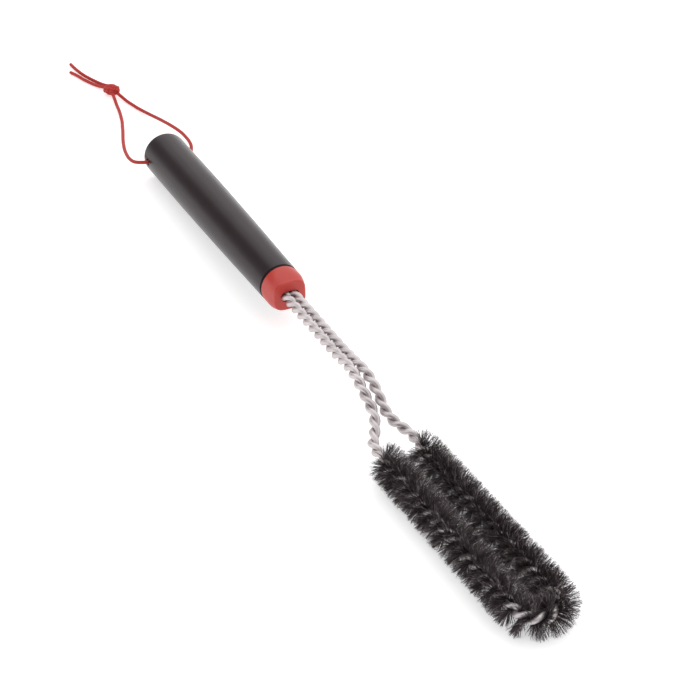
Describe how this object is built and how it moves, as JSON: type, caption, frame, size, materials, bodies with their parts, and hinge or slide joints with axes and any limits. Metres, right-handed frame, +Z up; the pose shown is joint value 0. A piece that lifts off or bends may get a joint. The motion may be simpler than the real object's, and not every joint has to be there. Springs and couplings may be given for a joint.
{
  "type": "grill cleaning brush",
  "caption": "Grill cleaning brush: hollow dark handle, red collar, twisted wire stem bent into a hairpin with dark bristles, and a knotted red hanging cord.",
  "frame": {"origin": "middle of the brush's footprint on the surface it lies on, halfway between the butt and the tip of the bristles, cord left out", "axes": "+X from the butt of the handle to the tip of the bristles, +Z up from the surface, Y across the brush"},
  "size_m": [0.6172, 0.0448, 0.0319],
  "materials": {
    "handle": "smooth matte charcoal plastic",
    "core": "black moulded plastic",
    "collar": "soft satin red plastic",
    "crimp": "pressed steel band",
    "wire": "drawn stainless steel wire, satin",
    "bristle": "dense black nylon filament",
    "cord": "braided red polyester cord"
  },
  "bodies": {
    "root": {"handle_shell": "handle", "stem_core": "core", "collar": "collar", "crimp_band": "crimp", "stem_wire_1": "wire", "stem_wire_2": "wire", "bristles_left": "bristle", "bristles_right": "bristle", "bristles_tip": "bristle", "cord_left": "cord", "cord_right": "cord", "cord_knot": "cord", "cord_tail_left": "cord", "cord_tail_right": "cord"}
  },
  "joints": []
}
